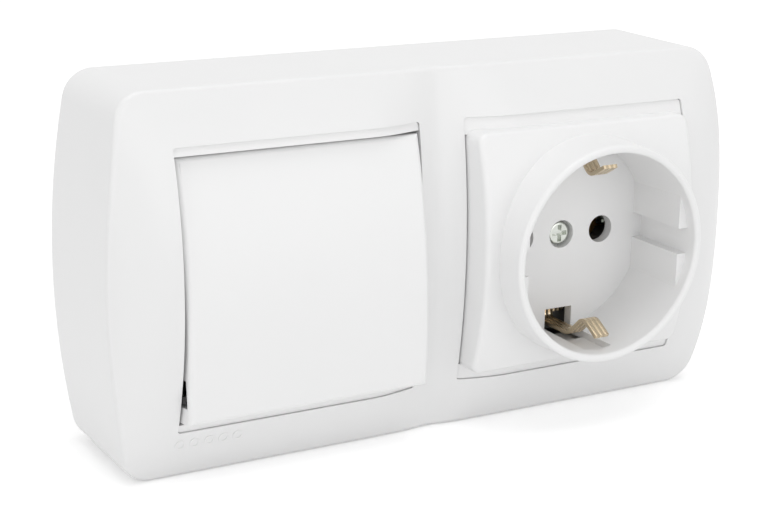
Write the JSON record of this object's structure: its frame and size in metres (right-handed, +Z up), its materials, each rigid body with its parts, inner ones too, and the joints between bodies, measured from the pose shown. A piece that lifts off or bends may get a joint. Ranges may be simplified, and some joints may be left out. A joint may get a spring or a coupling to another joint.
{
  "type": "switch and socket combination",
  "caption": "Surface-mounted white wall unit with a two-way rocker switch beside a round recessed earthed socket in one bulged frame.",
  "frame": {"origin": "middle of the flat back face that lies on the wall, midway between the switch and the socket", "axes": "+X along the wall from the switch to the socket, +Y into the wall, +Z up"},
  "size_m": [0.1348, 0.045, 0.072],
  "materials": {
    "frame_white": "smooth white moulded thermoplastic, satin gloss",
    "insert_white": "smooth white moulded thermoplastic, a little glossier than the frame",
    "base_white": "plain white moulded plastic",
    "mechanism_grey": "grey heat-resistant moulded plastic",
    "cradle_nylon": "natural nylon",
    "contact_brass": "stamped brass",
    "earth_brass": "pale nickel-washed spring brass",
    "contact_silver": "silver contact rivet",
    "spring_steel": "bright spring wire",
    "zinc_steel": "zinc-plated steel"
  },
  "bodies": {
    "housing": {"front_frame": "frame_white", "rear_base": "base_white", "switch_body": "mechanism_grey", "switch_bezel": "insert_white", "fixed_rivets": "contact_silver", "common_terminal": "contact_brass", "upper_terminal": "contact_brass", "lower_terminal": "contact_brass", "switch_terminal_screws": "zinc_steel", "switch_fixing_screws": "zinc_steel", "socket_cover": "insert_white", "socket_body": "mechanism_grey", "live_contact": "contact_brass", "neutral_contact": "contact_brass", "earth_bracket": "earth_brass", "earth_clamp": "contact_brass", "centre_screw": "zinc_steel", "centre_nut": "zinc_steel", "socket_terminal_screws": "zinc_steel", "socket_fixing_screws": "zinc_steel"},
    "rocker": {"rocker": "insert_white", "rocker_cradle": "cradle_nylon", "plunger_spring": "spring_steel"},
    "plunger": {"plunger": "cradle_nylon"},
    "contact": {"moving_contact": "contact_brass", "moving_rivets": "contact_silver"}
  },
  "joints": [
    {"name": "rocker_tilt", "type": "hinge", "parent": "housing", "child": "rocker", "pos_m": [-0.0298, -0.03, 0], "axis": [1, 0, 0], "range_deg": [0, 12.4]},
    {"name": "plunger_slide", "type": "slide", "parent": "rocker", "child": "plunger", "axis": [0, -0.9942, 0.108], "range_m": [0, 0.0008], "stiffness_N_per_m": 500, "springref_m": -0.001},
    {"name": "contact_tilt", "type": "hinge", "parent": "housing", "child": "contact", "pos_m": [-0.0298, -0.012, 0], "axis": [1, 0, 0], "range_deg": [-16, 0]}
  ],
  "couplings": [
    {"joint": "contact_tilt", "follows": "rocker_tilt", "ratio": -1.29}
  ]
}
